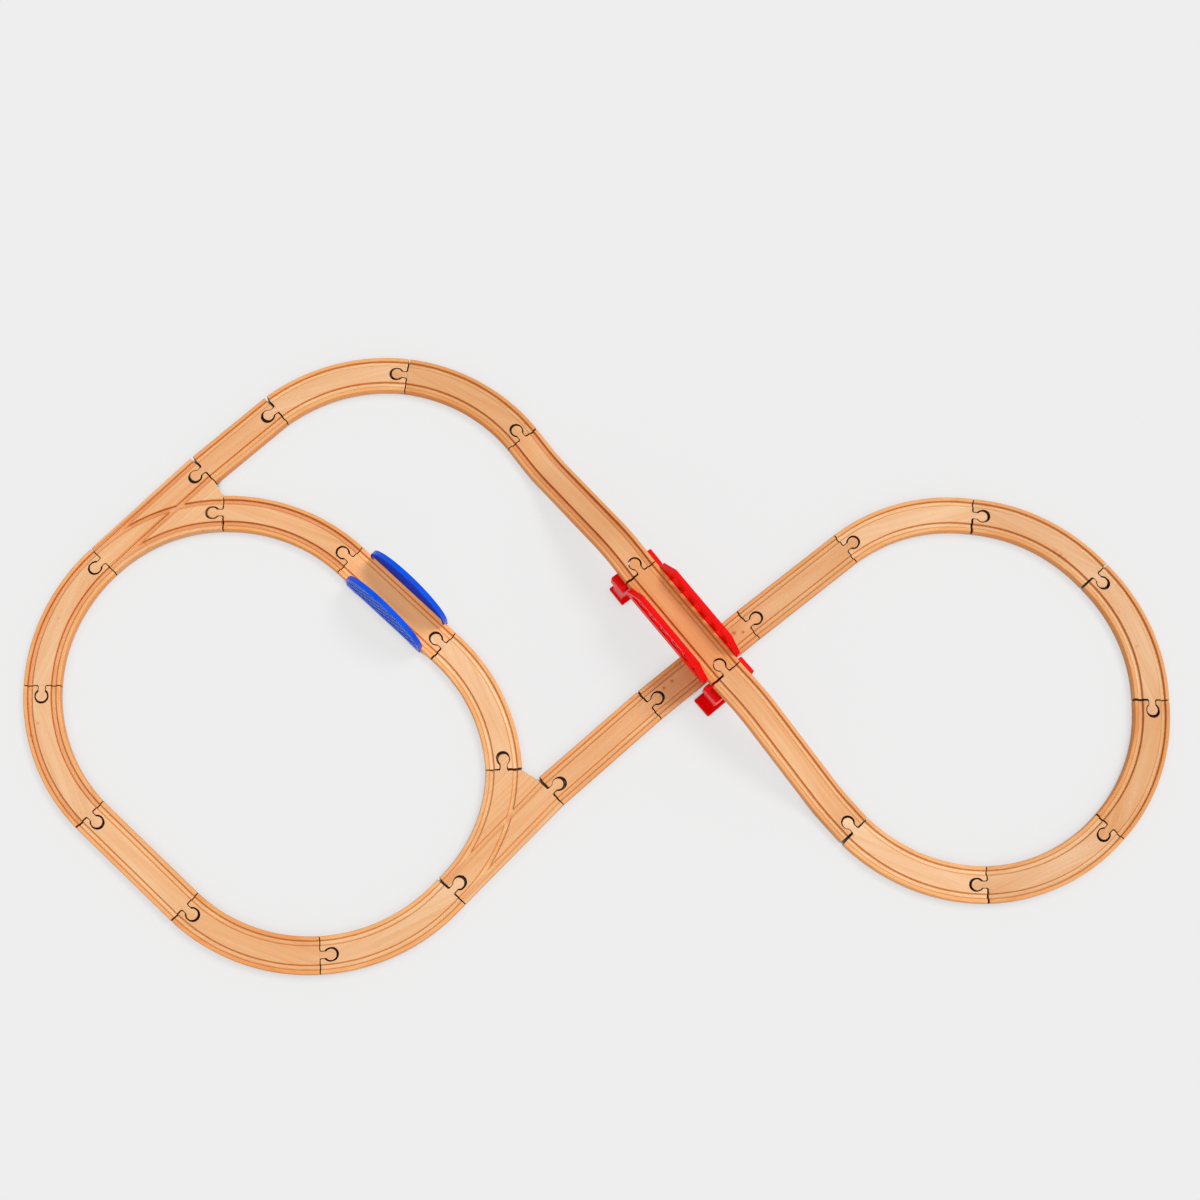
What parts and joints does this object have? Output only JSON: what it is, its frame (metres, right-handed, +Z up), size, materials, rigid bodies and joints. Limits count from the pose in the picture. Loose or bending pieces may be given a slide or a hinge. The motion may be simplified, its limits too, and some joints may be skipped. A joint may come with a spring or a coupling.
{
  "type": "wooden toy railway layout",
  "caption": "Grooved wooden toy train track laid as a small loop and a large loop, joined by switches and a ramped bridge with plastic side rails and piers.",
  "frame": {"origin": "middle of the layout's bounding box on the floor", "axes": "+X along the layout's length from the small loop to the large loop, +Z up"},
  "size_m": [1.2714, 0.6996, 0.09],
  "materials": {
    "beech": "satin",
    "gloss_red": "gloss",
    "gloss_blue": "gloss"
  },
  "bodies": {
    "piers": {"bridge_pier_1": "gloss_red", "bridge_pier_2": "gloss_red"},
    "switch_left": {"switch_left": "beech"},
    "switch_right": {"switch_right": "beech"},
    "loop_curve_1": {"loop_curve_1": "beech"},
    "guarded_straight": {"guarded_straight": "beech", "arched_rail_left": "gloss_blue", "arched_rail_right": "gloss_blue"},
    "loop_curve_2": {"loop_curve_2": "beech"},
    "loop_curve_3": {"loop_curve_3": "beech"},
    "loop_curve_4": {"loop_curve_4": "beech"},
    "loop_straight": {"loop_straight": "beech"},
    "loop_curve_5": {"loop_curve_5": "beech"},
    "loop_curve_6": {"loop_curve_6": "beech"},
    "short_straight": {"short_straight": "beech"},
    "top_curve_1": {"top_curve_1": "beech"},
    "top_curve_2": {"top_curve_2": "beech"},
    "ramp_up": {"ramp_up": "beech"},
    "bridge_deck": {"bridge_deck": "beech", "truss_rail_left": "gloss_red", "truss_rail_right": "gloss_red"},
    "ramp_down": {"ramp_down": "beech"},
    "right_curve_1": {"right_curve_1": "beech"},
    "right_curve_2": {"right_curve_2": "beech"},
    "right_curve_3": {"right_curve_3": "beech"},
    "right_curve_4": {"right_curve_4": "beech"},
    "right_curve_5": {"right_curve_5": "beech"},
    "right_curve_6": {"right_curve_6": "beech"},
    "line_straight_1": {"line_straight_1": "beech"},
    "underpass_straight": {"underpass_straight": "beech"},
    "line_straight_2": {"line_straight_2": "beech"}
  },
  "joints": [
    {"name": "switch_left_lift", "type": "slide", "parent": "piers", "child": "switch_left", "axis": [0, 0, 1], "range_m": [0, 0.03]},
    {"name": "switch_right_lift", "type": "slide", "parent": "piers", "child": "switch_right", "axis": [0, 0, 1], "range_m": [0, 0.03]},
    {"name": "loop_curve_1_lift", "type": "slide", "parent": "piers", "child": "loop_curve_1", "axis": [0, 0, 1], "range_m": [0, 0.03]},
    {"name": "guarded_straight_lift", "type": "slide", "parent": "piers", "child": "guarded_straight", "axis": [0, 0, 1], "range_m": [0, 0.03]},
    {"name": "loop_curve_2_lift", "type": "slide", "parent": "piers", "child": "loop_curve_2", "axis": [0, 0, 1], "range_m": [0, 0.03]},
    {"name": "loop_curve_3_lift", "type": "slide", "parent": "piers", "child": "loop_curve_3", "axis": [0, 0, 1], "range_m": [0, 0.03]},
    {"name": "loop_curve_4_lift", "type": "slide", "parent": "piers", "child": "loop_curve_4", "axis": [0, 0, 1], "range_m": [0, 0.03]},
    {"name": "loop_straight_lift", "type": "slide", "parent": "piers", "child": "loop_straight", "axis": [0, 0, 1], "range_m": [0, 0.03]},
    {"name": "loop_curve_5_lift", "type": "slide", "parent": "piers", "child": "loop_curve_5", "axis": [0, 0, 1], "range_m": [0, 0.03]},
    {"name": "loop_curve_6_lift", "type": "slide", "parent": "piers", "child": "loop_curve_6", "axis": [0, 0, 1], "range_m": [0, 0.03]},
    {"name": "short_straight_lift", "type": "slide", "parent": "piers", "child": "short_straight", "axis": [0, 0, 1], "range_m": [0, 0.03]},
    {"name": "top_curve_1_lift", "type": "slide", "parent": "piers", "child": "top_curve_1", "axis": [0, 0, 1], "range_m": [0, 0.03]},
    {"name": "top_curve_2_lift", "type": "slide", "parent": "piers", "child": "top_curve_2", "axis": [0, 0, 1], "range_m": [0, 0.03]},
    {"name": "ramp_up_lift", "type": "slide", "parent": "piers", "child": "ramp_up", "axis": [0, 0, 1], "range_m": [0, 0.03]},
    {"name": "bridge_deck_lift", "type": "slide", "parent": "piers", "child": "bridge_deck", "axis": [0, 0, 1], "range_m": [0, 0.03]},
    {"name": "ramp_down_lift", "type": "slide", "parent": "piers", "child": "ramp_down", "axis": [0, 0, 1], "range_m": [0, 0.03]},
    {"name": "right_curve_1_lift", "type": "slide", "parent": "piers", "child": "right_curve_1", "axis": [0, 0, 1], "range_m": [0, 0.03]},
    {"name": "right_curve_2_lift", "type": "slide", "parent": "piers", "child": "right_curve_2", "axis": [0, 0, 1], "range_m": [0, 0.03]},
    {"name": "right_curve_3_lift", "type": "slide", "parent": "piers", "child": "right_curve_3", "axis": [0, 0, 1], "range_m": [0, 0.03]},
    {"name": "right_curve_4_lift", "type": "slide", "parent": "piers", "child": "right_curve_4", "axis": [0, 0, 1], "range_m": [0, 0.03]},
    {"name": "right_curve_5_lift", "type": "slide", "parent": "piers", "child": "right_curve_5", "axis": [0, 0, 1], "range_m": [0, 0.03]},
    {"name": "right_curve_6_lift", "type": "slide", "parent": "piers", "child": "right_curve_6", "axis": [0, 0, 1], "range_m": [0, 0.03]},
    {"name": "line_straight_1_lift", "type": "slide", "parent": "piers", "child": "line_straight_1", "axis": [0, 0, 1], "range_m": [0, 0.03]},
    {"name": "underpass_straight_lift", "type": "slide", "parent": "piers", "child": "underpass_straight", "axis": [0, 0, 1], "range_m": [0, 0.03]},
    {"name": "line_straight_2_lift", "type": "slide", "parent": "piers", "child": "line_straight_2", "axis": [0, 0, 1], "range_m": [0, 0.03]}
  ]
}
